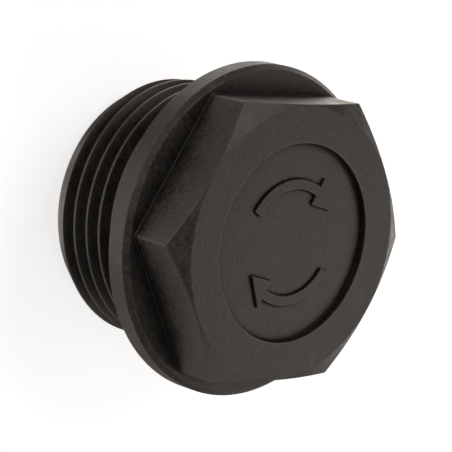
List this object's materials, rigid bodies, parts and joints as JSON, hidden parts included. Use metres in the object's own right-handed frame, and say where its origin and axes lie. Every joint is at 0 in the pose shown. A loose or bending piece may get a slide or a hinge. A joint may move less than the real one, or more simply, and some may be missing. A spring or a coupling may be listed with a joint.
{
  "type": "manifold blanking plug",
  "caption": "Moulded black plastic blanking plug: a hexagon head on a round flange, a parallel pipe thread below it and a blind hollow inside.",
  "frame": {"origin": "centre of the flange's sealing face, on the thread's axis", "axes": "+Z along the axis and out of the hexagon head; -Y towards one corner of the hexagon"},
  "size_m": [0.0414, 0.0414, 0.0268],
  "materials": {
    "black_plastic": "fine moulded grain, matte with a soft sheen at glancing angles"
  },
  "bodies": {
    "root": {"plug_body": "black_plastic"}
  },
  "joints": []
}
